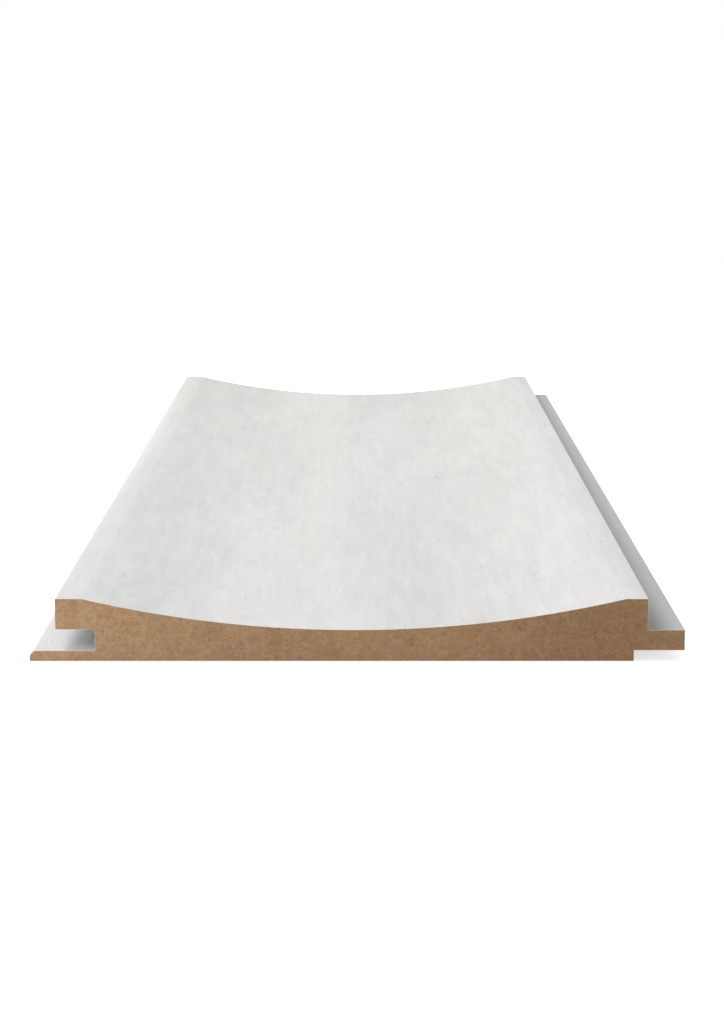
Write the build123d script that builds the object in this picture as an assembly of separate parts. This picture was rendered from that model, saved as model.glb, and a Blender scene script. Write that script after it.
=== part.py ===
from build123d import *

import os
from math import hypot, sqrt

# Curved fibreboard wall panel: one moulded board with a hollow face, a tongue and a groove.
# Millimetres. The board lies on its back, with the room face up. +X runs across the board
# towards the tongue, +Y along it and +Z out of the room face. The origin is on the back face,
# at the middle of the overall width and length.

# The board
THICKNESS = 16.0
LENGTH = 500.0
FACE_WIDTH = 150.0  # room face, between its two long edges
FACE_ARRIS = 0.4  # rounding of those two edges

# The hollow along the room face
HOLLOW_RADIUS = 300.0
HOLLOW_DEPTH = 8.0
GROOVE_SIDE_LAND = 6.75  # flat strip of face left between the hollow and the groove side
LAND_EASING = 6.0  # radius that softens the turn from a flat strip into the hollow

# The tongue, on the +X side
TONGUE_REACH = 9.4  # past the face's edge
TONGUE_THICKNESS = 5.2
TONGUE_SHOULDER = 3.5  # how far the step under the tongue goes in behind the face's edge

# The groove, on the -X side, between the upper lip and the longer lower lip
GROOVE_DEPTH = 10.0  # from the upper lip's edge
GROOVE_HEIGHT = 5.5
LOWER_LIP_THICKNESS = 2.6
LOWER_LIP_REACH = 6.6  # past the upper lip's edge
LOWER_LIP_CHAMFER = 1.1

# Places worked out from those
OVERALL_WIDTH = LOWER_LIP_REACH + FACE_WIDTH + TONGUE_REACH
LIP_END = -OVERALL_WIDTH / 2
TONGUE_END = OVERALL_WIDTH / 2
FACE_LEFT = LIP_END + LOWER_LIP_REACH
FACE_RIGHT = TONGUE_END - TONGUE_REACH
GROOVE_WALL = FACE_LEFT + GROOVE_DEPTH
SHOULDER_WALL = FACE_RIGHT - TONGUE_SHOULDER
GROOVE_TOP = LOWER_LIP_THICKNESS + GROOVE_HEIGHT
TONGUE_CLEARANCE = (GROOVE_HEIGHT - TONGUE_THICKNESS) / 2  # above and below, in a neighbour's groove
TONGUE_BOTTOM = LOWER_LIP_THICKNESS + TONGUE_CLEARANCE
TONGUE_TOP = TONGUE_BOTTOM + TONGUE_THICKNESS
HALF_HOLLOW = sqrt(HOLLOW_RADIUS**2 - (HOLLOW_RADIUS - HOLLOW_DEPTH) ** 2)
HOLLOW_CENTRE_X = FACE_LEFT + GROOVE_SIDE_LAND + HALF_HOLLOW
HOLLOW_CENTRE_Z = THICKNESS - HOLLOW_DEPTH + HOLLOW_RADIUS

OVERCUT = 5.0  # how far a cutter runs out past the blank
SAME_CORNER = 0.01  # a corner this near a stated place is the one meant


def block(x_low, x_high, z_low, z_high):
    """A rectangle of the section, given by its four sides."""
    middle = Pos((x_low + x_high) / 2, (z_low + z_high) / 2)
    return middle * Rectangle(x_high - x_low, z_high - z_low)


def corners_at(shape, *places):
    """The shape's corners that stand at the given places."""
    return [
        corner
        for corner in shape.vertices()
        if any(hypot(corner.X - x, corner.Y - z) < SAME_CORNER for x, z in places)
    ]


def groove_side_cuts():
    """What is milled off the -X edge: the groove itself, and the step over the longer lower lip."""
    groove = block(LIP_END - OVERCUT, GROOVE_WALL, LOWER_LIP_THICKNESS, GROOVE_TOP)
    over_lower_lip = block(LIP_END - OVERCUT, FACE_LEFT, LOWER_LIP_THICKNESS, THICKNESS + OVERCUT)
    return groove + over_lower_lip


def tongue_side_cuts():
    """What is milled off the +X edge: the step over the tongue and the deeper one under it."""
    over_tongue = block(FACE_RIGHT, TONGUE_END + OVERCUT, TONGUE_TOP, THICKNESS + OVERCUT)
    under_tongue = block(SHOULDER_WALL, TONGUE_END + OVERCUT, -OVERCUT, TONGUE_BOTTOM)
    return over_tongue + under_tongue


def hollow_cut():
    """The round cutter that leaves the hollow in the room face."""
    return Pos(HOLLOW_CENTRE_X, HOLLOW_CENTRE_Z) * Circle(HOLLOW_RADIUS)


def board_section():
    """The cross-section as the moulder leaves it, in the X-Z plane."""
    section = block(LIP_END, TONGUE_END, 0, THICKNESS)
    section -= groove_side_cuts()
    section -= tongue_side_cuts()
    section -= hollow_cut()
    hollow_ends = corners_at(
        section,
        (HOLLOW_CENTRE_X - HALF_HOLLOW, THICKNESS),
        (HOLLOW_CENTRE_X + HALF_HOLLOW, THICKNESS),
    )
    section = fillet(hollow_ends, LAND_EASING)
    face_edges = corners_at(section, (FACE_LEFT, THICKNESS), (FACE_RIGHT, THICKNESS))
    section = fillet(face_edges, FACE_ARRIS)
    lip_edge = corners_at(section, (LIP_END, LOWER_LIP_THICKNESS))
    return chamfer(lip_edge, LOWER_LIP_CHAMFER)


def wall_panel():
    """The whole board: its section, run half the length each way from the origin."""
    return extrude(Plane.XZ * board_section(), amount=LENGTH / 2, both=True)


os.makedirs("parts", exist_ok=True)
export_step(wall_panel(), "parts/wall_panel.step")
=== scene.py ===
from math import pi, radians
from random import Random

import bmesh
import bpy
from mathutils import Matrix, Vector
from mathutils.geometry import delaunay_2d_cdt
from mathutils.kdtree import KDTree


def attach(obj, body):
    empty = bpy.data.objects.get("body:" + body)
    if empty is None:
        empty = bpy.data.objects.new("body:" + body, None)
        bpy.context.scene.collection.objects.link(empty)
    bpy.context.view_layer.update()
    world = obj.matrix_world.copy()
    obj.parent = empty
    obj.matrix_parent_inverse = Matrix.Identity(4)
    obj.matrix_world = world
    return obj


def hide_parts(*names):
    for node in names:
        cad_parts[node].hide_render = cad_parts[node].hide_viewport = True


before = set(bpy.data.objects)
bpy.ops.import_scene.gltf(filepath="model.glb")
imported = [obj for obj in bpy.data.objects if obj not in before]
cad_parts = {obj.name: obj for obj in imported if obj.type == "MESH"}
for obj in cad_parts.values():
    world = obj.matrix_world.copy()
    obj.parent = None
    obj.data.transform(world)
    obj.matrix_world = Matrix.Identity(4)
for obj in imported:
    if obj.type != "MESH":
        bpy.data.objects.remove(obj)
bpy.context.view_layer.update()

# Looks of the curved fibreboard wall panel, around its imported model. The board lies on its back:
# +X across it towards the tongue, +Y along it, +Z out of the room face. Sizes are named in
# millimetres, and MM turns them into Blender's metres.

MM = 0.001

# Camera, where the photograph was taken from
CAMERA_LENS = 90.69
CAMERA_PLACE = (1.24, -888.85, 144.42)
CAMERA_PITCH = 9.437  # degrees below level

# The board's section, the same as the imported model's
THICKNESS = 16.0
LENGTH = 500.0
LIP_END = -83.0
TONGUE_END = 83.0
FACE_LEFT = -76.4
FACE_RIGHT = 73.6
GROOVE_WALL = -66.4
GROOVE_TOP = 8.1
LOWER_LIP = 2.6
LOWER_LIP_CHAMFER = 1.1
SHOULDER_WALL = 70.1
TONGUE_BOTTOM = 2.75
TONGUE_TOP = 7.95
HOLLOW_RADIUS = 300.0
HOLLOW_DEPTH = 8.0
HOLLOW_CENTRE = -0.825
LAND_EASING = 0.17  # height over which a flat strip turns into the hollow

# How the cutters and the sanding belt leave the corners, as radii
FACE_ARRIS = 0.12
OUTER_ARRIS = 0.08
INNER_CORNER = 0.08

# Mesh
POINT_SPACING = 0.42  # round the section and over the sawn ends
ROW_SPACING = 0.866  # from one staggered row to the next, over the spacing in a row
POINT_WANDER = 0.2  # how far a point may stray from its row, over the spacing
CLEAR_OF_OUTLINE = 0.6  # how far inner points stay off the outline, over the spacing
CORNER_STEPS = 4
STATIONS = 41  # rings of points along the board
SMOOTH_TURN = 25  # degrees; a sharper turn between two faces shows as an edge
WELD = 0.001  # points this near each other become one
JUST_OVER = 0.02  # a point this near a plane counts as on it
KEEP_INSIDE = 1  # tells the fill to keep only the triangles inside the outline
SAME_POINT = 1e-9  # the fill's own tolerance, in metres
INNER_POINTS_SEED = 7

# The sawn ends: how deep the saw tears the fibres, and how wide the torn spots are
SAW_RELIEF = 0.035
TORN_SPOT = 0.9

# Loose fibres on them
FIBRES_PER_MM2 = 0.5
FIBRE_SHORTEST = 0.4
FIBRE_LONGEST = 1.35
FIBRE_SLENDERNESS = 0.06  # radius over length
FIBRE_FLATNESS = 0.3
FIBRE_BEND = (0.05, 0.0, 0.34)  # what a fibre bows towards, over its length
FIBRE_TIP = 0.25  # thickness at its tips, over that of its belly
FIBRE_ROOM = 1.8  # longest fibre, over its distance from the end's rim
FIBRE_STEPS = 5
FIBRE_SIDES = 4
NEAR_FIBRES_SEED = 11
FAR_FIBRES_SEED = 31


# Node trees


class Wire:
    """An output in a node tree. Sums, products and comparisons of it add Math nodes there.

    & gives the smaller of two values and | the larger, which join 0 and 1 as and and or do.
    """

    def __init__(self, graph, socket):
        self.graph = graph
        self.socket = socket

    def other(self, name):
        """Another output of the same node."""
        return Wire(self.graph, self.socket.node.outputs[name])

    def __add__(self, value):
        return self.graph.maths("ADD", self, value)

    def __radd__(self, value):
        return self.graph.maths("ADD", value, self)

    def __sub__(self, value):
        return self.graph.maths("SUBTRACT", self, value)

    def __rsub__(self, value):
        return self.graph.maths("SUBTRACT", value, self)

    def __mul__(self, value):
        return self.graph.maths("MULTIPLY", self, value)

    def __rmul__(self, value):
        return self.graph.maths("MULTIPLY", value, self)

    def __truediv__(self, value):
        return self.graph.maths("DIVIDE", self, value)

    def __pow__(self, value):
        return self.graph.maths("POWER", self, value)

    def __gt__(self, value):
        return self.graph.maths("GREATER_THAN", self, value)

    def __lt__(self, value):
        return self.graph.maths("LESS_THAN", self, value)

    def __and__(self, value):
        return self.graph.maths("MINIMUM", self, value)

    def __or__(self, value):
        return self.graph.maths("MAXIMUM", self, value)


class Graph:
    """A node tree in the making."""

    def __init__(self, tree):
        self.tree = tree

    def node(self, kind, settings=None, inputs=(), out=0):
        """Adds a node: its settings first, then the values or wires of its sockets."""
        node = self.tree.nodes.new(kind)
        for name, value in (settings or {}).items():
            setattr(node, name, value)
        for key, value in inputs.items() if isinstance(inputs, dict) else enumerate(inputs):
            if isinstance(value, Wire):
                self.tree.links.new(value.socket, node.inputs[key])
            elif value is not None:
                node.inputs[key].default_value = value
        return Wire(self, node.outputs[out] if node.outputs else None)

    def maths(self, operation, *values):
        return self.node("ShaderNodeMath", {"operation": operation}, values)

    def away(self, value):
        """How far a value is from 0, whichever its sign."""
        return self.maths("ABSOLUTE", value)

    def xyz(self, x=0.0, y=0.0, z=0.0):
        return self.node("ShaderNodeCombineXYZ", None, (x, y, z))

    def parts(self, vector):
        """The three components of a vector."""
        x = self.node("ShaderNodeSeparateXYZ", None, (vector,))
        return x, x.other("Y"), x.other("Z")

    def scaled(self, vector, factors):
        return self.node("ShaderNodeVectorMath", {"operation": "MULTIPLY"}, (vector, factors))

    def moved(self, vector, step):
        return self.node("ShaderNodeVectorMath", {"operation": "ADD"}, (vector, step))

    def noise(self, vector, size, detail=2.0, roughness=0.5, distortion=0.0, out=0):
        """Smooth noise of 0 to 1, with features of about this size in millimetres."""
        sockets = {
            "Vector": vector,
            "Scale": 1 / (size * MM),
            "Detail": detail,
            "Roughness": roughness,
            "Distortion": distortion,
        }
        return self.node("ShaderNodeTexNoise", None, sockets, out)

    def step(self, value, low, high, first=0.0, last=1.0):
        """Goes smoothly from first to last as value goes from low to high."""
        sockets = {"Value": value, "From Min": low, "From Max": high, "To Min": first, "To Max": last}
        return self.node("ShaderNodeMapRange", {"interpolation_type": "SMOOTHSTEP"}, sockets)

    def colours(self, factor, first, second, blend="MIX"):
        """The first colour, turned into the second as far as factor says."""
        mix = {"data_type": "RGBA", "blend_type": blend}
        return self.node("ShaderNodeMix", mix, {0: factor, 6: first, 7: second}, out=2)

    def tinted(self, factor, colour, tint):
        """The colour, multiplied by the tint as far as factor says."""
        return self.colours(factor, colour, tint, "MULTIPLY")

    def bump(self, height, depth):
        """The surface normal over a height of 0 to 1, with its depth in millimetres."""
        return self.node("ShaderNodeBump", None, {"Height": height, "Distance": depth * MM})

    # What only geometry trees use

    def stored(self, name, kind="FLOAT"):
        return self.node("GeometryNodeInputNamedAttribute", {"data_type": kind}, {"Name": name})

    def store(self, geometry, name, value, kind="FLOAT", domain="POINT"):
        settings = {"data_type": kind, "domain": domain}
        sockets = {"Geometry": geometry, "Name": name, "Value": value}
        return self.node("GeometryNodeStoreNamedAttribute", settings, sockets)

    def random(self, low, high, seed):
        return self.node("FunctionNodeRandomValue", None, {2: low, 3: high, "Seed": seed}, out=1)

    def put(self, geometry, position):
        sockets = {"Geometry": geometry, "Position": position}
        return self.node("GeometryNodeSetPosition", None, sockets)

    def shifted(self, geometry, offset):
        sockets = {"Geometry": geometry, "Offset": offset}
        return self.node("GeometryNodeSetPosition", None, sockets)

    def joined(self, *geometries):
        join = self.tree.nodes.new("GeometryNodeJoinGeometry")
        for geometry in geometries:
            self.tree.links.new(geometry.socket, join.inputs[0])
        return Wire(self, join.outputs[0])

    def rim(self):
        """The edges with one face, which are the border of a flat mesh."""
        neighbours = self.node("GeometryNodeInputMeshEdgeNeighbors")
        equal = {"data_type": "INT", "operation": "EQUAL"}
        return self.node("FunctionNodeCompare", equal, {2: neighbours, 3: 1})

    def distance_to(self, mesh, edges):
        """How far each point is from the chosen edges of a mesh."""
        sockets = {"Geometry": mesh, "Selection": edges}
        line = self.node("GeometryNodeSeparateGeometry", {"domain": "EDGE"}, sockets)
        return self.node("GeometryNodeProximity", {"target_element": "EDGES"}, (line,), "Distance")

    def shaded(self, mesh, smooth, domain, selection=None):
        sockets = {"Geometry": mesh, "Selection": selection, "Shade Smooth": smooth}
        return self.node("GeometryNodeSetShadeSmooth", {"domain": domain}, sockets)

    def realized(self, geometry):
        return self.node("GeometryNodeRealizeInstances", None, {"Geometry": geometry})

    def painted(self, geometry, material, selection=None):
        sockets = {"Geometry": geometry, "Selection": selection, "Material": material}
        return self.node("GeometryNodeSetMaterial", None, sockets)

    def given_out(self, geometry):
        """The finished tree, which gives out this geometry."""
        self.node("NodeGroupOutput", None, {"Geometry": geometry})
        return self.tree


SOCKET_KINDS = {float: "NodeSocketFloat", int: "NodeSocketInt"}


def shape_tree(name, sizes):
    """A geometry tree with an input for each size: the tree, what comes in, and its sizes."""
    tree = bpy.data.node_groups.new(name, "GeometryNodeTree")
    tree.is_modifier = True
    sockets = tree.interface
    sockets.new_socket("Geometry", in_out="INPUT", socket_type="NodeSocketGeometry")
    sockets.new_socket("Geometry", in_out="OUTPUT", socket_type="NodeSocketGeometry")
    for size, value in sizes.items():
        kind = SOCKET_KINDS.get(type(value), "NodeSocketMaterial")
        sockets.new_socket(size, in_out="INPUT", socket_type=kind)
    graph = Graph(tree)
    came_in = graph.node("NodeGroupInput")
    return graph, came_in, {size: came_in.other(size) for size in sizes}


def shaped(name, mesh, tree, sizes):
    """The plain mesh that a geometry tree makes out of another mesh."""
    carrier = bpy.data.objects.new(name, mesh)
    bpy.context.scene.collection.objects.link(carrier)
    modifier = carrier.modifiers.new("shape", "NODES")
    modifier.node_group = tree
    for socket in tree.interface.items_tree:
        if socket.in_out == "INPUT" and socket.name in sizes:
            modifier[socket.identifier] = sizes[socket.name]
    evaluated = carrier.evaluated_get(bpy.context.evaluated_depsgraph_get())
    made = bpy.data.meshes.new_from_object(evaluated)
    carrier.modifiers.remove(modifier)
    bpy.data.objects.remove(carrier)
    made.name = name
    return made


def facing_out(mesh):
    """Turns a closed mesh's faces outwards."""
    editing = bmesh.new()
    editing.from_mesh(mesh)
    bmesh.ops.recalc_face_normals(editing, faces=editing.faces)
    editing.to_mesh(mesh)
    editing.free()
    return mesh


def placed(name, data):
    """A mesh, lamp or camera as an object at the origin."""
    piece = bpy.data.objects.new(name, data)
    bpy.context.scene.collection.objects.link(piece)
    return piece


def emptied(owner):
    """The node tree of a material or a world, ready for its nodes."""
    owner.use_nodes = True
    owner.node_tree.nodes.clear()
    return Graph(owner.node_tree)


# Finishes

PRIMER = (0.842, 0.822, 0.828, 1.0)
PRIMER_FAR = (0.806, 0.812, 0.778, 1.0)
PRIMER_NEAR = (0.798, 0.816, 0.808, 1.0)
PRIMER_EDGES = (0.826, 0.832, 0.830, 1.0)  # below the face, on the lips, the groove and the tongue
# a thicker coat, and painted light on the strip beside the groove
FULL_COAT_AND_LIGHT = (0.90, 0.898, 0.896, 1.0)
LEAN_COAT_AND_SHADE = (0.845, 0.838, 0.838, 1.0)  # darkens the coat where it is thinnest, and gives the face its painted shade; the next three give the tongue's thin coat with painted shade, and painted shade in the groove
# a thin grey coat with painted shade on the tongue, where the face's wall shades it
THIN_COAT_AND_SHADE = (0.425, 0.422, 0.404, 1.0)
NEAR_THIN_COAT_AND_SHADE = (0.405, 0.424, 0.402, 1.0)
# painted shade deep in the groove, under the upper lip
GROOVE_PAINTED_SHADE = (0.400, 0.430, 0.425, 1.0)

SAWN_TAN = (0.440, 0.288, 0.169, 1.0)
SAWN_BROWN = (0.256, 0.159, 0.090, 1.0)
SAWN_WARM = (1.0, 0.94, 0.83, 1.0)
SAWN_DUST = (0.50, 0.345, 0.205, 1.0)
SAWN_PAINTED_SHADE = (0.633, 0.595, 0.557, 1.0)  # painted shade, darkest on the end beside the tongue, away from the light on the left
SAWN_SPECK = (0.115, 0.068, 0.038, 1.0)
FIBRE_PALE = (0.61, 0.45, 0.28, 1.0)
FIBRE_MIDDLE = (0.37, 0.235, 0.135, 1.0)
FIBRE_DARK = (0.265, 0.163, 0.090, 1.0)

BACK_TAN = (0.40, 0.262, 0.155, 1.0)
BACK_BROWN = (0.30, 0.188, 0.105, 1.0)

PRIMER_STIPPLE = 0.02  # depths of the bump, in millimetres
SAWN_PITS = 0.06
FIBRE_PITS = 0.01
BACK_SCRATCHES = 0.02

# The primer was rolled on in two passes that meet at the lap line, over a narrow band beside it
LAP_LINE = -5.0
LAP_BAND = (LAP_LINE - 1.5, LAP_LINE + 2.5)
LEFT_PASS, RIGHT_PASS, BOTH_PASSES = "left", "right", "both"

# Its lanes run along the board. Each has its middle and half width across the board, a share and
# the pass that it belongs to. The first table's share is how much nearer the far tint comes.
FAR_TINT_LANES = (
    (-14, 30, 190, LEFT_PASS),
    (42, 27, 170, BOTH_PASSES),
    (6, 20, -130, RIGHT_PASS),
    (-58, 18, -50, BOTH_PASSES),
)
NEAR_TINT_LANES = (
    (-56, 37, 1.0, BOTH_PASSES),
    (14, 22, 1.0, BOTH_PASSES),
    (33, 13, 0.8, BOTH_PASSES),
)
LEAN_AND_SHADE_LANES = (
    # painted shade on the hollow's left slope, which faces away from the light
    (-60, 36, 0.31, BOTH_PASSES),
    (8, 42, 0.06, BOTH_PASSES),
    (8, 42, 0.29, RIGHT_PASS),
)
LEAN_NEAR_LANES = ((34, 34, 0.32, BOTH_PASSES),)
LEAN_FAR_LANES = (
    (-42, 19, 0.40, BOTH_PASSES),
    (31, 17, 0.40, BOTH_PASSES),
    (4, 16, 0.20, RIGHT_PASS),
)
FULL_LANES = ((-10, 12, 0.10, LEFT_PASS),)

# Where along the board these set in and are complete
FAR_TINT = (60, 120)
NEAR_TINT = (-165, -210)
LEAN_NEAR = (50, -60)
LEAN_FAR = (150, 220)
TONGUE_NEAR = (-150, -190)
GROOVE_SHADE = (0, 11)  # from each end inwards

# The strip beside the tongue keeps the first tint and is darkened by painted shade, but for a stretch
# of it, and the strip beside the groove is lightened by painted light over most of its length. A
# stretch has its middle and half its length along the board.
TONGUE_STRIP_TINT = (58, 70)
TONGUE_STRIP_TINT_BACK = 120  # how much further off the far tint sets in there
TONGUE_STRIP = (FACE_RIGHT - 16, FACE_RIGHT - 5)
TONGUE_STRIP_SHADE = 0.28
TONGUE_STRIP_EDGE = (FACE_RIGHT - 4, FACE_RIGHT)
TONGUE_STRIP_EDGE_SHADE = 0.25
LESS_SHADE_STRETCH = (35, 100)
LESS_SHADE_BY = 0.7  # the share of the painted shade beside the tongue that is gone there
GROOVE_STRIP = (FACE_LEFT + 5, FACE_LEFT)
GROOVE_STRIP_STRETCH = (30, 290)
GROOVE_STRIP_LIGHT = 0.75

# What counts as the face: all above this height, and all this near the board's middle, where the
# hollow's bottom is lower than the groove's top
FACE_ABOVE = GROOVE_TOP + 0.5
FACE_WITHIN = 60

# How far the tongue's thin coat and painted shade show, from its root beside the face's wall to its
# end, and how the groove's painted shade reaches towards its wall
TONGUE_THIN_AND_SHADE = (1.0, 0.60)
GROOVE_DARKENING = (FACE_LEFT + 1.9, GROOVE_WALL + 0.4)
GROOVE_DARKEST = 0.54
GROOVE_INSIDE = GROOVE_WALL + 0.1

# Painted shade that darkens the sawn end across the board: over what width, and by what share
END_PAINTED_SHADE = (((-76, -12), 0.574), ((10, 68), 0.426), ((68, 76), -0.11))

# The coat's ragged rim on the sawn end
COAT_RIM = 0.035
COAT_RIM_RAGGED = 0.10
COAT_RIM_SHARE = 0.5

# How far noise is drawn out along the board by the roller, in its streaks and by the sanding belt
ROLLED_OUT = (1.0, 0.18, 1.0)
STREAKED = (1.0, 0.05, 1.0)
BELT_SANDED = (1.0, 0.02, 1.0)

# What keeps one noise from repeating another, in metres; the last two are for each step of a seed
CLOUDS_MOVE = (0.31, 0.0, 0.0)
PATCHES_MOVE = (0.0, 0.47, 0.0)
WARM_MOVE = (0.2, 0.0, 0.0)
WISP_MOVE = (0.37, 0.11, 0.23)
SPECK_MOVE = (0.31, 0.17, 0.53)


def finish(name, paint):
    """A material: paint makes its nodes and returns the sockets of its surface."""
    material = bpy.data.materials.new(name)
    graph = emptied(material)
    place = graph.node("ShaderNodeTexCoord", out="Object")
    shader = graph.node("ShaderNodeBsdfPrincipled", None, paint(graph, place))
    graph.node("ShaderNodeOutputMaterial", None, {"Surface": shader})
    return material


def elsewhere(graph, place, move, seed):
    """The place that a seed takes a noise to."""
    return graph.moved(place, tuple(seed * step for step in move))


def uneven(*noises):
    """Noises added up around 0, each by its share."""
    together = 0.0
    for noise, share in noises:
        together = together + (noise - 0.5) * share
    return together


def wisps(graph, place, size, thin, seed):
    """Short thin curved strokes, 1 on a stroke: where noise crosses its middle, here and there."""
    shifted = elsewhere(graph, place, WISP_MOVE, seed)
    wander = graph.noise(shifted, size, detail=2.0, roughness=0.5, distortion=0.6)
    line = graph.step(graph.away(wander - 0.5), 0.0, thin, first=1.0, last=0.0)
    here = graph.step(graph.noise(shifted, size * 1.3, detail=1.0), 0.56, 0.66)
    return line * here


def specks(graph, place, size, share, seed):
    """Small particles, 1 inside: round cells of uneven size, of which a share is taken."""
    wobble = graph.scaled(graph.noise(place, size / 1.6, out="Color"), (size * 0.7 * MM,) * 3)
    shifted = elsewhere(graph, graph.moved(wobble, place), SPECK_MOVE, seed)
    sockets = {"Vector": shifted, "Scale": 1 / (size * MM), "Randomness": 1.0}
    cells = graph.node("ShaderNodeTexVoronoi", None, sockets)
    pick, spread, _ = graph.parts(cells.other("Color"))
    inside = graph.step(cells - spread * 0.10, 0.04, 0.14, first=1.0, last=0.0)
    return inside * (pick < share)


def over(graph, place, ends):
    """Goes smoothly from 0 to 1 from the first end to the last, given in millimetres."""
    return graph.step(place, ends[0] * MM, ends[1] * MM)


def lane(graph, place, middle, half_width):
    """1 along a lane's middle and 0 from half its width on, given in millimetres."""
    return graph.step(graph.away(place - middle * MM), half_width * MM, 0.0)


def roller_passes(graph, x):
    """Where each pass of the roller went, by its name."""
    past_lap = over(graph, x, LAP_BAND)
    return {LEFT_PASS: 1.0 - past_lap, RIGHT_PASS: past_lap, BOTH_PASSES: 1.0}


def laned(graph, x, passes, lanes, joined="ADD"):
    """The lanes of a table together. With MAXIMUM only the strongest one counts at a place."""
    together = 0.0
    for middle, half_width, share, of_pass in lanes:
        strength = lane(graph, x, middle, half_width) * passes[of_pass] * share
        together = graph.maths(joined, together, strength)
    return together


def primer_tint(graph, x, y, passes, ragged, patchy):
    """The coat's tint on the face: yellower at the far end, with cooler patches at the near one."""
    nearer = laned(graph, x, passes, FAR_TINT_LANES)
    nearer = nearer - over(graph, x, TONGUE_STRIP_TINT) * TONGUE_STRIP_TINT_BACK
    far = over(graph, y + nearer * MM + ragged, FAR_TINT)
    patches = laned(graph, x, passes, NEAR_TINT_LANES, "MAXIMUM") + uneven((patchy, 2.0))
    near = over(graph, y + ragged * 0.4, NEAR_TINT) * graph.step(patches, 0.40, 0.75)
    return graph.colours(near, graph.colours(far, PRIMER, PRIMER_FAR), PRIMER_NEAR)


def primer_marks(graph, place, tone):
    """Thin strokes and small spots, in which the coat is leaner or fuller."""
    stroke = wisps(graph, place, size=2.6, thin=0.03, seed=1)
    tone = graph.tinted(stroke * 0.5, tone, LEAN_COAT_AND_SHADE)
    stroke = wisps(graph, place, size=2.6, thin=0.03, seed=2)
    tone = graph.colours(stroke * 0.5, tone, FULL_COAT_AND_LIGHT)
    stroke = wisps(graph, place, size=1.4, thin=0.05, seed=3)
    tone = graph.tinted(stroke * 0.4, tone, LEAN_COAT_AND_SHADE)
    spot = specks(graph, place, size=3.0, share=0.16, seed=5)
    tone = graph.tinted(spot * 0.6, tone, LEAN_COAT_AND_SHADE)
    spot = specks(graph, place, size=3.0, share=0.16, seed=6)
    return graph.colours(spot * 0.35, tone, FULL_COAT_AND_LIGHT)


def primer_on_face(graph, x, y, passes, ragged, on_face, tone):
    """The face's lanes of thinner and thicker coat, painted shade on the hollow's left slope and the
    strip beside the tongue, and painted light on the strip beside the groove.
    """
    lean_and_shade = laned(graph, x, passes, LEAN_AND_SHADE_LANES)
    lean_and_shade = lean_and_shade + laned(graph, x, passes, LEAN_NEAR_LANES) * over(graph, y, LEAN_NEAR)
    far_lanes = laned(graph, x, passes, LEAN_FAR_LANES, "MAXIMUM")
    lean_and_shade = lean_and_shade + far_lanes * over(graph, y + ragged * 0.2, LEAN_FAR)
    # painted shade on the strip beside the tongue and along its edge, less of it over a stretch of the
    # board
    fuller = 1.0 - lane(graph, y, *LESS_SHADE_STRETCH) * LESS_SHADE_BY
    lean_and_shade = lean_and_shade + over(graph, x, TONGUE_STRIP) * fuller * TONGUE_STRIP_SHADE
    lean_and_shade = lean_and_shade + over(graph, x, TONGUE_STRIP_EDGE) * TONGUE_STRIP_EDGE_SHADE
    # painted light on the strip beside the groove
    full_and_light = over(graph, x, GROOVE_STRIP) * lane(graph, y, *GROOVE_STRIP_STRETCH) * GROOVE_STRIP_LIGHT
    full_and_light = full_and_light + laned(graph, x, passes, FULL_LANES)
    tone = graph.tinted(lean_and_shade * on_face, tone, LEAN_COAT_AND_SHADE)
    return graph.colours(full_and_light * on_face, tone, FULL_COAT_AND_LIGHT)


def primer_on_edges(graph, x, y, ragged, on_face, tone):
    """The thinner coat on the tongue with painted shade, darkest beside the face's wall, and painted
    shade deep in the groove but for its two ends.
    """
    # thin coat and painted shade on the tongue, darkest at its root beside the face's wall
    near_tongue = over(graph, y + ragged * 0.3, TONGUE_NEAR)
    tongue_tone_and_shade = graph.colours(near_tongue, THIN_COAT_AND_SHADE, NEAR_THIN_COAT_AND_SHADE)
    tongue_thin_and_shade = graph.step(x, FACE_RIGHT * MM, TONGUE_END * MM, *TONGUE_THIN_AND_SHADE)
    tongue_thin_and_shade = tongue_thin_and_shade * (x > FACE_RIGHT * MM)
    tone = graph.tinted(tongue_thin_and_shade * (1.0 - on_face), tone, tongue_tone_and_shade)
    # painted shade deep in the groove, darker towards its wall and gone at both open ends
    groove_painted_shade = over(graph, x, GROOVE_DARKENING) ** 2.0 * GROOVE_DARKEST
    groove_painted_shade = groove_painted_shade * (x < GROOVE_INSIDE * MM)
    groove_painted_shade = groove_painted_shade * over(graph, LENGTH / 2 * MM - graph.away(y), GROOVE_SHADE)
    return graph.tinted(groove_painted_shade * (1.0 - on_face), tone, GROOVE_PAINTED_SHADE)


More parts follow.
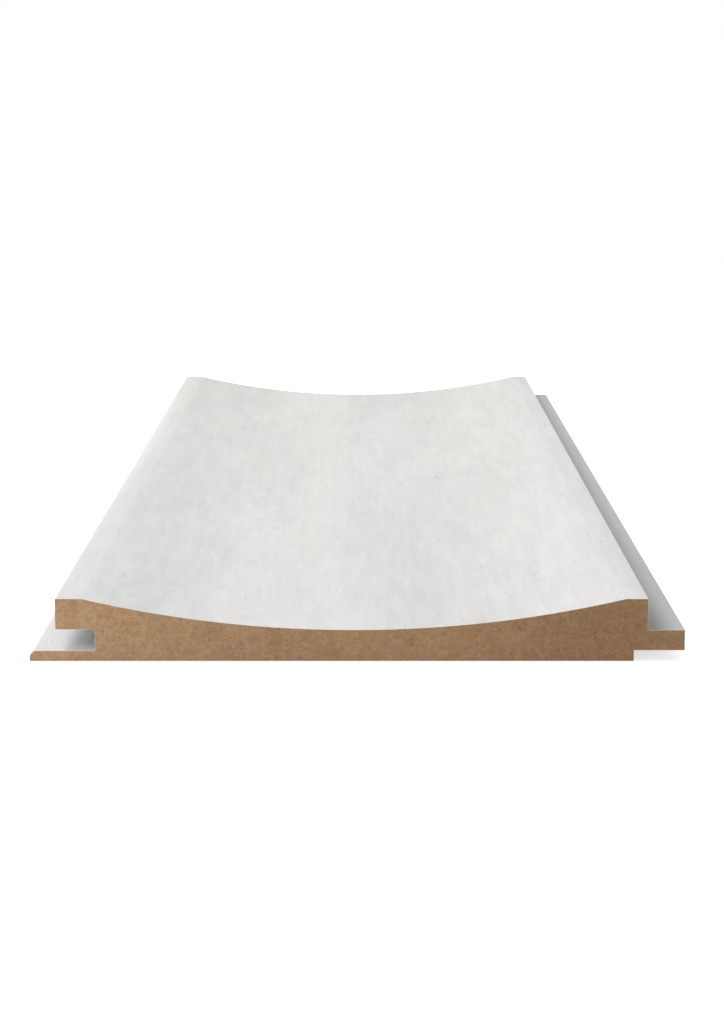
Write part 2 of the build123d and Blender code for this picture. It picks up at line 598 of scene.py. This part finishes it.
def primer_paint(graph, place):
    """White primer: rolled in faint lanes, tinted and mottled, with thin wisps along the board."""
    x, y, z = graph.parts(place)
    rolled = graph.scaled(place, ROLLED_OUT)
    for_clouds = graph.moved(rolled, CLOUDS_MOVE)
    clouds = graph.noise(for_clouds, size=26, detail=5.0, roughness=0.62, distortion=0.3)
    for_patches = graph.moved(rolled, PATCHES_MOVE)
    patchy = graph.noise(for_patches, size=11, detail=5.0, roughness=0.68)
    mottle = graph.noise(rolled, size=4.5, detail=5.0, roughness=0.7)
    streaks = graph.noise(graph.scaled(place, STREAKED), size=2.2, detail=3.0, roughness=0.6)
    grain = graph.noise(place, size=0.55, detail=3.0, roughness=0.6)
    stipple = graph.noise(place, size=1.1)
    ragged = uneven((patchy, 0.75), (mottle, 0.15))

    on_face = (z > FACE_ABOVE * MM) | (graph.away(x) < FACE_WITHIN * MM)
    passes = roller_passes(graph, x)
    tone = primer_tint(graph, x, y, passes, ragged, patchy)
    tone = graph.colours(on_face, PRIMER_EDGES, tone)
    shade = uneven((clouds, 1.2), (patchy, 1.0), (mottle, 1.3), (streaks, 0.9), (grain, 0.3))
    tone = graph.tinted(graph.step(shade, 0.75, -0.75), tone, LEAN_COAT_AND_SHADE)
    tone = primer_marks(graph, rolled, tone)
    tone = primer_on_face(graph, x, y, passes, ragged, on_face, tone)
    tone = primer_on_edges(graph, x, y, ragged, on_face, tone)
    return {
        "Base Color": tone,
        "Roughness": 0.56 + mottle * 0.10 + grain * 0.08,
        "Specular IOR Level": 0.35,
        "Normal": graph.bump(stipple * 0.6 + grain * 0.25 + streaks * 0.15, PRIMER_STIPPLE),
    }


def fibre_tone(graph, place, tan, brown):
    """Pressed wood fibre: soft blotches and a fine grain between a tan and a brown."""
    blotches = graph.noise(place, size=3.6, detail=3.0, roughness=0.55, distortion=0.3)
    flecks = graph.noise(place, size=1.2, detail=4.0, roughness=0.68)
    grain = graph.noise(place, size=0.35, detail=2.0, roughness=0.6)
    mix = 0.5 + uneven((blotches, 0.35), (flecks, 0.95), (grain, 0.55))
    return graph.colours(graph.step(mix, 0.05, 0.95), brown, tan), flecks, grain


def painted_shade_across(graph, x, tone):
    """The tone of the sawn board under painted shade, which darkens it from the lips towards the
    tongue.
    """
    dark = 0.0
    for ends, share in END_PAINTED_SHADE:
        dark = dark + over(graph, x, ends) * share
    return graph.tinted(dark, tone, SAWN_PAINTED_SHADE)


def sawn_paint(graph, place):
    """Sawn fibreboard end: blotched brown with dark specks, painted shade that darkens it from the lips
    towards the tongue, and a thin rim of coat.
    """
    x, _, _ = graph.parts(place)
    tone, flecks, grain = fibre_tone(graph, place, SAWN_TAN, SAWN_BROWN)
    for_warm = graph.moved(place, WARM_MOVE)
    warm = graph.noise(for_warm, size=3.0, detail=3.0, roughness=0.6, distortion=0.4)
    tone = graph.tinted(graph.step(warm, 0.40, 0.62), tone, SAWN_WARM)
    particle = specks(graph, place, size=1.5, share=0.42, seed=1)
    tone = graph.colours(particle * 0.6, tone, SAWN_SPECK)
    particle = specks(graph, place, size=0.8, share=0.36, seed=2)
    tone = graph.colours(particle * 0.5, tone, SAWN_SPECK)
    dust = wisps(graph, place, size=1.6, thin=0.05, seed=3)
    tone = graph.colours(dust * 0.30, tone, SAWN_DUST)
    # painted shade across the sawn end, lighter at the lips and darker beside the tongue
    tone = painted_shade_across(graph, x, tone)
    gap = graph.node("ShaderNodeAttribute", {"attribute_name": "coat_gap"}, out="Fac")
    gap = gap - grain * COAT_RIM_RAGGED * MM
    coat = graph.step(gap, 0.0, COAT_RIM * MM, first=1.0, last=0.0)
    return {
        "Base Color": graph.colours(coat * COAT_RIM_SHARE, tone, PRIMER),
        "Roughness": 0.80 + grain * 0.12,
        "Specular IOR Level": 0.2,
        "Normal": graph.bump(flecks * 0.6 + grain * 0.4, SAWN_PITS),
    }


def fibre_paint(graph, place):
    """A loose fibre's own tone, pale or dark, uneven along it, under the sawn end's painted shade."""
    x, _, _ = graph.parts(place)
    tone = graph.node("ShaderNodeAttribute", {"attribute_name": "fibre_tone"}, out="Fac")
    grain = graph.noise(place, size=0.3, detail=2.0, roughness=0.6)
    colour = graph.colours(graph.step(tone, 0.0, 0.6), FIBRE_DARK, FIBRE_MIDDLE)
    pale = graph.step(tone + uneven((grain, 0.2)), 0.70, 0.92)
    colour = graph.colours(pale, colour, FIBRE_PALE)
    return {
        # the sawn end's painted shade on the fibres too
        "Base Color": painted_shade_across(graph, x, colour),
        "Roughness": 0.70 + grain * 0.15,
        "Specular IOR Level": 0.2,
        "Normal": graph.bump(grain, FIBRE_PITS),
    }


def back_paint(graph, place):
    """Sanded fibreboard back: an even tan with fine specks and the belt's faint scratches."""
    tone, flecks, grain = fibre_tone(graph, place, BACK_TAN, BACK_BROWN)
    belt = graph.noise(graph.scaled(place, BELT_SANDED), size=0.5, detail=3.0, roughness=0.6)
    tone = graph.colours(graph.step(belt, 0.45, 0.75) * 0.22, tone, SAWN_DUST)
    particle = specks(graph, place, size=2.6, share=0.35, seed=4)
    tone = graph.colours(particle * 0.40, tone, SAWN_SPECK)
    return {
        "Base Color": tone,
        "Roughness": 0.66 + flecks * 0.12,
        "Specular IOR Level": 0.25,
        "Normal": graph.bump(belt * 0.6 + grain * 0.4, BACK_SCRATCHES),
    }


# Camera, lamps and floor. Places and sizes of the lamps and the floor are in metres.

WHITE = (1.0, 1.0, 1.0, 1.0)
FILL_COLOUR = (0.99, 1.0, 0.99, 1.0)
FILL_STRENGTH = 0.62
FLOOR_GREY = (0.80, 0.80, 0.80, 1.0)
FLOOR_LIFT = 0.68  # added to the floor as the camera sees it, so that it is white round the shadow
FLOOR_HALF = 6.0
FLOOR_WHITE_FROM = 0.55  # distances over which the floor turns into plain backdrop
FLOOR_WHITE_BY = 1.3
FLOOR_DROP = 0.0002  # keeps the floor just under the board's back


def set_camera():
    """A short telephoto lens in front of the near sawn end, a little above the board."""
    camera = placed("camera", bpy.data.cameras.new("camera"))
    camera.data.lens = CAMERA_LENS
    camera.data.clip_start = 0.05
    camera.data.clip_end = 30.0
    camera.location = Vector(CAMERA_PLACE) * MM
    camera.rotation_euler = (radians(90 - CAMERA_PITCH), 0.0, 0.0)
    bpy.context.scene.camera = camera


def soft_box(name, place, aim, width, height, watts, colour):
    """A soft box standing at place, turned towards aim."""
    lamp = placed(name, bpy.data.lights.new(name, "AREA"))
    lamp.data.shape = "RECTANGLE"
    lamp.data.size = width
    lamp.data.size_y = height
    lamp.data.energy = watts
    lamp.data.color = colour
    lamp.location = place
    lamp.rotation_euler = (Vector(aim) - Vector(place)).to_track_quat("-Z", "Y").to_euler()
    lamp.visible_camera = False


def set_lamps():
    """A large one high on the left, and a low one that lights the near sawn end."""
    soft_box(
        "key_lamp",
        place=(-1.1, 0.2, 2.1),
        aim=(0.0, 0.0, 0.0),
        width=1.3,
        height=1.3,
        watts=24.5,
        colour=(1.0, 0.996, 0.99),
    )
    soft_box(
        "end_lamp",
        place=(-0.4, -1.3, 0.07),
        aim=(0.0, -LENGTH / 2 * MM, 0.0),
        width=0.5,
        height=0.14,
        watts=6.3,
        colour=(1.0, 1.0, 1.0),
    )


def seen_directly(graph):
    """1 for the camera's own rays, and for those that a reflection or glass sends there."""
    rays = graph.node("ShaderNodeLightPath")
    return rays.other("Is Camera Ray") | rays.other("Is Glossy Ray") | rays.other("Is Transmission Ray")


def set_world():
    """Soft fill from all round, and a white backdrop to look at."""
    world = bpy.data.worlds.new("studio")
    graph = emptied(world)
    fill = graph.node("ShaderNodeBackground", None, (FILL_COLOUR, FILL_STRENGTH))
    white = graph.node("ShaderNodeBackground", None, (WHITE, 1.0))
    both = graph.node("ShaderNodeMixShader", None, (seen_directly(graph), fill, white))
    graph.node("ShaderNodeOutputWorld", None, {"Surface": both})
    bpy.context.scene.world = world


def floor_finish():
    """A pale floor that keeps its shadow, and turns into plain white further out."""
    material = bpy.data.materials.new("studio_floor")
    graph = emptied(material)
    paint = graph.node("ShaderNodeBsdfDiffuse", None, (FLOOR_GREY,))
    lift = graph.node("ShaderNodeEmission", None, (WHITE, FLOOR_LIFT))
    lifted = graph.node("ShaderNodeAddShader", None, (paint, lift))
    white = graph.node("ShaderNodeEmission", None, (WHITE, 1.0))
    place = graph.node("ShaderNodeTexCoord", out="Object")
    away = graph.node("ShaderNodeVectorMath", {"operation": "LENGTH"}, (place,), "Value")
    away = graph.step(away, FLOOR_WHITE_FROM, FLOOR_WHITE_BY)
    lifted = graph.node("ShaderNodeMixShader", None, (away, lifted, white))
    both = graph.node("ShaderNodeMixShader", None, (seen_directly(graph), paint, lifted))
    graph.node("ShaderNodeOutputMaterial", None, {"Surface": both})
    return material


def set_floor():
    """A wide flat floor, which belongs to the stage and not to the part."""
    mesh = bpy.data.meshes.new("floor")
    signs = ((-1, -1), (1, -1), (1, 1), (-1, 1))
    corners = [(x * FLOOR_HALF, y * FLOOR_HALF, -FLOOR_DROP) for x, y in signs]
    mesh.from_pydata(corners, [], [(0, 1, 2, 3)])
    mesh.materials.append(floor_finish())
    placed("floor", mesh)


# The moulded section


def section_corners():
    """The section's corners, from the lower lip's foot round the tongue and back: x, z, easing."""
    return [
        (LIP_END, 0.0, OUTER_ARRIS),
        (SHOULDER_WALL, 0.0, OUTER_ARRIS),
        (SHOULDER_WALL, TONGUE_BOTTOM, INNER_CORNER),
        (TONGUE_END, TONGUE_BOTTOM, OUTER_ARRIS),
        (TONGUE_END, TONGUE_TOP, OUTER_ARRIS),
        (FACE_RIGHT, TONGUE_TOP, INNER_CORNER),
        (FACE_RIGHT, THICKNESS, FACE_ARRIS),
        (FACE_LEFT, THICKNESS, FACE_ARRIS),
        (FACE_LEFT, GROOVE_TOP, OUTER_ARRIS),
        (GROOVE_WALL, GROOVE_TOP, INNER_CORNER),
        (GROOVE_WALL, LOWER_LIP, INNER_CORNER),
        (LIP_END + LOWER_LIP_CHAMFER, LOWER_LIP, OUTER_ARRIS),
        (LIP_END, LOWER_LIP - LOWER_LIP_CHAMFER, OUTER_ARRIS),
    ]


def corner_mesh():
    """The section's corners as a closed line, each with its easing radius."""
    corners = section_corners()
    mesh = bpy.data.meshes.new("section_corners")
    edges = [(i, (i + 1) % len(corners)) for i in range(len(corners))]
    mesh.from_pydata([(x * MM, 0.0, z * MM) for x, z, _ in corners], edges, [])
    easing = mesh.attributes.new("easing", "FLOAT", "POINT")
    for corner, (_, _, radius) in zip(easing.data, corners):
        corner.value = radius * MM
    return mesh


def outline_tree(sizes):
    """Eases the corners, spaces points along every side and sinks the hollow into the room face."""
    graph, came_in, size = shape_tree("moulded_outline", sizes)
    line = graph.node("GeometryNodeMeshToCurve", None, {"Mesh": came_in})
    sockets = {
        "Curve": line,
        "Count": size["Corner Steps"],
        "Radius": graph.stored("easing"),
        "Limit Radius": True,
    }
    line = graph.node("GeometryNodeFilletCurve", {"mode": "POLY"}, sockets)

    place = graph.node("GeometryNodeInputPosition")
    sockets = {"Point Index": graph.node("GeometryNodeInputIndex"), "Offset": 1}
    following = graph.node("GeometryNodeOffsetPointInCurve", None, sockets, "Point Index")
    sockets = {"Index": following, "Value": place}
    next_place = graph.node("GeometryNodeFieldAtIndex", {"data_type": "FLOAT_VECTOR"}, sockets)
    side = graph.node("ShaderNodeVectorMath", {"operation": "DISTANCE"}, (place, next_place), "Value")
    cuts = graph.maths("ROUND", side / size["Point Spacing"]) - 1
    line = graph.node("GeometryNodeSubdivideCurve", None, {"Curve": line, "Cuts": cuts})

    x, y, z = graph.parts(place)
    across = x - size["Hollow Centre"]
    arc_centre = size["Face Height"] - size["Hollow Depth"] + size["Hollow Radius"]
    arc = arc_centre - graph.maths("SQRT", size["Hollow Radius"] ** 2 - across * across)
    sunk = graph.maths("SMOOTH_MIN", z, arc, size["Land Easing"])
    line = graph.put(line, graph.xyz(x, y, sunk))
    return graph.given_out(graph.node("GeometryNodeCurveToMesh", None, {"Curve": line}))


def section_outline():
    """The finished outline as (x, z) in metres, in order round the section."""
    sizes = {
        "Corner Steps": CORNER_STEPS,
        "Point Spacing": POINT_SPACING * MM,
        "Face Height": THICKNESS * MM,
        "Hollow Radius": HOLLOW_RADIUS * MM,
        "Hollow Depth": HOLLOW_DEPTH * MM,
        "Hollow Centre": HOLLOW_CENTRE * MM,
        "Land Easing": LAND_EASING * MM,
    }
    ring = shaped("section_outline", corner_mesh(), outline_tree(sizes), sizes)
    return [(point.co.x, point.co.z) for point in ring.vertices]


def inner_points(outline):
    """Points in staggered, slightly uneven rows over the section's box, clear of the outline."""
    nearest = KDTree(len(outline))
    for i, (x, z) in enumerate(outline):
        nearest.insert((x, 0.0, z), i)
    nearest.balance()
    rng = Random(INNER_POINTS_SEED)
    gap = POINT_SPACING * MM
    row_height = gap * ROW_SPACING
    found = []
    for row in range(int(THICKNESS * MM / row_height) + 1):
        for column in range(int((TONGUE_END - LIP_END) * MM / gap) + 1):
            stagger = 0.5 * (row % 2)
            x = LIP_END * MM + (column + stagger + rng.uniform(-POINT_WANDER, POINT_WANDER)) * gap
            z = (row + rng.uniform(-POINT_WANDER, POINT_WANDER)) * row_height
            if nearest.find((x, 0.0, z))[2] > CLEAR_OF_OUTLINE * gap:
                found.append((x, z))
    return found


def section_fill():
    """The section as a flat mesh of small triangles in the X-Z plane, which faces -Y."""
    outline = section_outline()
    points = [Vector(point) for point in outline + inner_points(outline)]
    sides = [(i, (i + 1) % len(outline)) for i in range(len(outline))]
    flat, _, faces = delaunay_2d_cdt(points, sides, [], KEEP_INSIDE, SAME_POINT)[:3]
    used = sorted({i for face in faces for i in face})
    index = {old: new for new, old in enumerate(used)}
    mesh = bpy.data.meshes.new("section_fill")
    places = [(flat[i].x, 0.0, flat[i].y) for i in used]
    mesh.from_pydata(places, [], [tuple(index[i] for i in face) for face in faces])
    return mesh


# The board


def long_faces(graph, section, size):
    """The section's rim, run along the board, with its bare faces marked."""
    place = graph.node("GeometryNodeInputPosition")
    x, y, z = graph.parts(place)
    half = size["Length"] * 0.5
    outline = graph.node("GeometryNodeMeshToCurve", None, {"Mesh": section, "Selection": graph.rim()})
    outline = graph.store(outline, "section_place", place, "FLOAT_VECTOR")
    ends = {"Start": graph.xyz(y=half * -1.0), "End": graph.xyz(y=half)}
    path = graph.node("GeometryNodeCurvePrimitiveLine", None, ends)
    sockets = {"Curve": path, "Count": size["Stations"]}
    path = graph.node("GeometryNodeResampleCurve", None, sockets)
    path = graph.store(path, "station", y)
    sockets = {"Curve": path, "Profile Curve": outline}
    walls = graph.node("GeometryNodeCurveToMesh", None, sockets)
    at_station = graph.xyz(y=graph.stored("station"))
    walls = graph.put(walls, graph.moved(graph.stored("section_place", "FLOAT_VECTOR"), at_station))
    back = z < JUST_OVER * MM
    below_tongue = z < (TONGUE_BOTTOM + JUST_OVER) * MM
    under_tongue = below_tongue & (x > (SHOULDER_WALL - INNER_CORNER) * MM)
    return graph.store(walls, "uncoated", back | under_tongue, domain="FACE")


def sawn_ends(graph, section, size):
    """The section at both ends of the board, torn by the saw, with its distance from the coat."""
    place = graph.node("GeometryNodeInputPosition")
    x, _, z = graph.parts(place)
    half = size["Length"] * 0.5
    rim = graph.rim()
    beside_groove = (x < (GROOVE_WALL + JUST_OVER) * MM) & (z > JUST_OVER * MM)
    coated = rim & ((z > (TONGUE_BOTTOM + JUST_OVER) * MM) | beside_groove)
    end = graph.store(section, "coat_gap", graph.distance_to(section, coated))
    end = graph.store(end, "sawn", 1.0, domain="FACE")
    on_rim = graph.node("GeometryNodeFieldOnDomain", {"domain": "EDGE", "data_type": "BOOLEAN"}, (rim,))
    torn = graph.noise(place, TORN_SPOT, detail=3.0, roughness=0.6) * size["Saw Relief"]
    torn = torn * (1.0 - on_rim)
    near = graph.shifted(end, graph.xyz(y=torn - half))
    far = graph.shifted(end, graph.xyz(y=half - torn))
    return graph.joined(near, graph.node("GeometryNodeFlipFaces", None, {"Mesh": far}))


def board_tree(sizes):
    """Runs the section along the board, closes it with two sawn ends and gives out the finishes."""
    graph, section, size = shape_tree("board_from_section", sizes)
    board = graph.joined(long_faces(graph, section, size), sawn_ends(graph, section, size))
    sockets = {"Geometry": board, "Distance": WELD * MM}
    board = graph.node("GeometryNodeMergeByDistance", None, sockets)
    board = graph.shaded(board, True, "FACE")
    turn = graph.node("GeometryNodeInputMeshEdgeAngle")
    board = graph.shaded(board, False, "EDGE", turn > radians(SMOOTH_TURN))
    board = graph.realized(board)
    board = graph.painted(board, size["Coat"])
    board = graph.painted(board, size["Bare Back"], graph.stored("uncoated") > 0.5)
    board = graph.painted(board, size["Sawn End"], graph.stored("sawn") > 0.5)
    return graph.given_out(board)


def add_board(fill):
    """The whole board, which shows in place of its plain node."""
    sizes = {
        "Length": LENGTH * MM,
        "Stations": STATIONS,
        "Saw Relief": SAW_RELIEF * MM,
        "Coat": finish("white_primer", primer_paint),
        "Sawn End": finish("sawn_fibreboard", sawn_paint),
        "Bare Back": finish("sanded_fibreboard_back", back_paint),
    }
    mesh = shaped("wall_panel_board", fill, board_tree(sizes), sizes)
    board = placed("wall_panel_board", facing_out(mesh))
    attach(board, "root")
    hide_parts("wall_panel")


# Loose fibres on the sawn ends


def strand(graph, size):
    """One bowed fibre of length 1, thickest at its belly and closed at its tips."""
    ends = {"Start": (-0.5, 0.0, 0.0), "Middle": FIBRE_BEND, "End": (0.5, 0.0, 0.0)}
    bow = graph.node("GeometryNodeCurveQuadraticBezier", None, {"Resolution": FIBRE_STEPS, **ends})
    along = graph.node("GeometryNodeSplineParameter")
    swell = FIBRE_TIP + (1 - FIBRE_TIP) * graph.maths("SINE", along * pi)
    sockets = {"Resolution": FIBRE_SIDES, "Radius": 1.0}
    ring = graph.node("GeometryNodeCurvePrimitiveCircle", None, sockets)
    thickness = size["Slenderness"] * swell
    sockets = {"Curve": bow, "Profile Curve": ring, "Scale": thickness, "Fill Caps": True}
    return graph.node("GeometryNodeCurveToMesh", None, sockets)


def strewn(graph, section, fibre, size, toward, seed):
    """Fibres over one sawn end, each with a turn, a length and a tone of its own."""
    sockets = {"Mesh": section, "Density": size["Density"], "Seed": seed}
    random_spots = {"distribute_method": "RANDOM"}
    points = graph.node("GeometryNodeDistributePointsOnFaces", random_spots, sockets)
    room = graph.distance_to(section, graph.rim())
    length = graph.random(size["Shortest"], size["Longest"], seed + 1)
    length = graph.maths("MINIMUM", length, room * FIBRE_ROOM)
    points = graph.store(points, "fibre_length", length)
    sockets = {"Geometry": points, "Selection": length < size["Shortest"]}
    points = graph.node("GeometryNodeDeleteGeometry", None, sockets)
    length = graph.stored("fibre_length")
    turn = {"Axis": (0.0, 1.0, 0.0), "Angle": graph.random(0.0, 2 * pi, seed + 2)}
    sockets = {
        "Points": points,
        "Instance": fibre,
        "Rotation": graph.node("FunctionNodeAxisAngleToRotation", None, turn),
        "Scale": graph.xyz(length, length * size["Flatness"], length),
    }
    fibres = graph.node("GeometryNodeInstanceOnPoints", None, sockets)
    tone = graph.random(0.0, 1.0, seed + 3)
    fibres = graph.realized(graph.store(fibres, "fibre_tone", tone, domain="INSTANCE"))
    to_end = size["Length"] * (0.5 * toward) - toward * 0.5 * size["Sunk"]
    return graph.shifted(fibres, graph.xyz(y=to_end))


def fibre_tree(sizes):
    """Strews bent, flattened fibres over both sawn ends."""
    graph, section, size = shape_tree("loose_fibres", sizes)
    fibre = strand(graph, size)
    near = strewn(graph, section, fibre, size, -1.0, NEAR_FIBRES_SEED)
    far = strewn(graph, section, fibre, size, 1.0, FAR_FIBRES_SEED)
    return graph.given_out(graph.painted(graph.realized(graph.joined(near, far)), size["Fibre"]))


def add_fibres(fill):
    """The fibres that the saw left standing, as one piece beside the board."""
    sizes = {
        "Length": LENGTH * MM,
        "Density": FIBRES_PER_MM2 / MM**2,
        "Shortest": FIBRE_SHORTEST * MM,
        "Longest": FIBRE_LONGEST * MM,
        "Slenderness": FIBRE_SLENDERNESS,
        "Flatness": FIBRE_FLATNESS,
        "Sunk": SAW_RELIEF * MM,
        "Fibre": finish("loose_fibre", fibre_paint),
    }
    mesh = shaped("sawn_end_fibres", fill, fibre_tree(sizes), sizes)
    fibres = placed("sawn_end_fibres", facing_out(mesh))
    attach(fibres, "root")


# The scene

set_camera()
set_world()
set_floor()
set_lamps()
bpy.context.scene.view_settings.view_transform = "Standard"

fill = section_fill()
add_board(fill)
add_fibres(fill)
